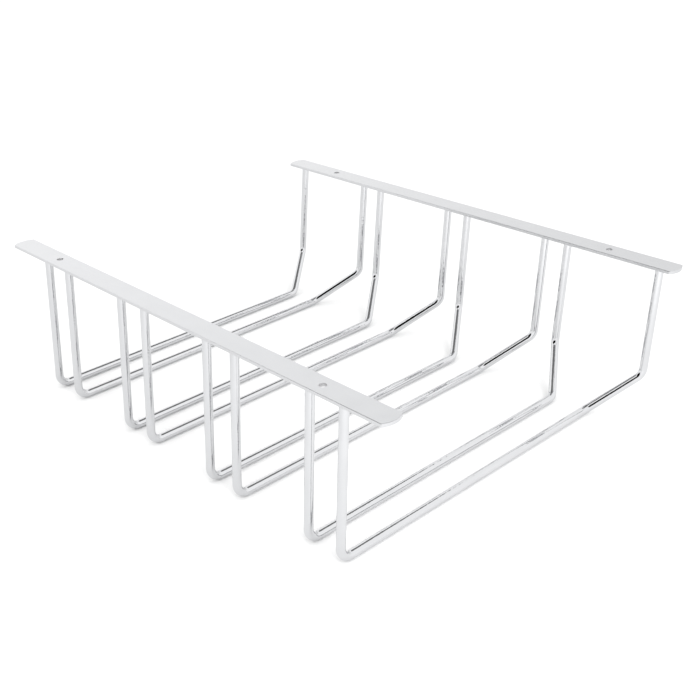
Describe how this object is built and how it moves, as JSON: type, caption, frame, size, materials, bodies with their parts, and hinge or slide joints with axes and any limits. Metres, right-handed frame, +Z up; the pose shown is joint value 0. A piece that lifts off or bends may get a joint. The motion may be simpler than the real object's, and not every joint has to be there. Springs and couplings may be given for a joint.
{
  "type": "under-shelf hanging stemware rack",
  "caption": "Chromed steel under-shelf rack: bent wire channels welded under two flat screw-on bars hold stemmed glasses by their feet.",
  "frame": {"origin": "centre of the four screw holes' rectangle, on the top plane of the two bars, which meets the shelf", "axes": "+X along the bars, +Y from the stop bar towards the entry bar where the glasses slide in, +Z up into the shelf"},
  "size_m": [0.43, 0.3205, 0.1192],
  "materials": {
    "bar_chrome": "bright chrome plate on lightly brushed flat steel",
    "wire_chrome": "bright mirror chrome plate on drawn steel wire",
    "weld_chrome": "chrome plate over weld fillets, slightly uneven"
  },
  "bodies": {
    "root": {"stop_bar": "bar_chrome", "entry_bar": "bar_chrome", "channel_1_left_wire": "wire_chrome", "channel_1_right_wire": "wire_chrome", "channel_2_left_wire": "wire_chrome", "channel_2_right_wire": "wire_chrome", "channel_3_left_wire": "wire_chrome", "channel_3_right_wire": "wire_chrome", "channel_4_left_wire": "wire_chrome", "channel_4_right_wire": "wire_chrome", "stop_bar_welds": "weld_chrome", "entry_bar_welds": "weld_chrome"}
  },
  "joints": []
}
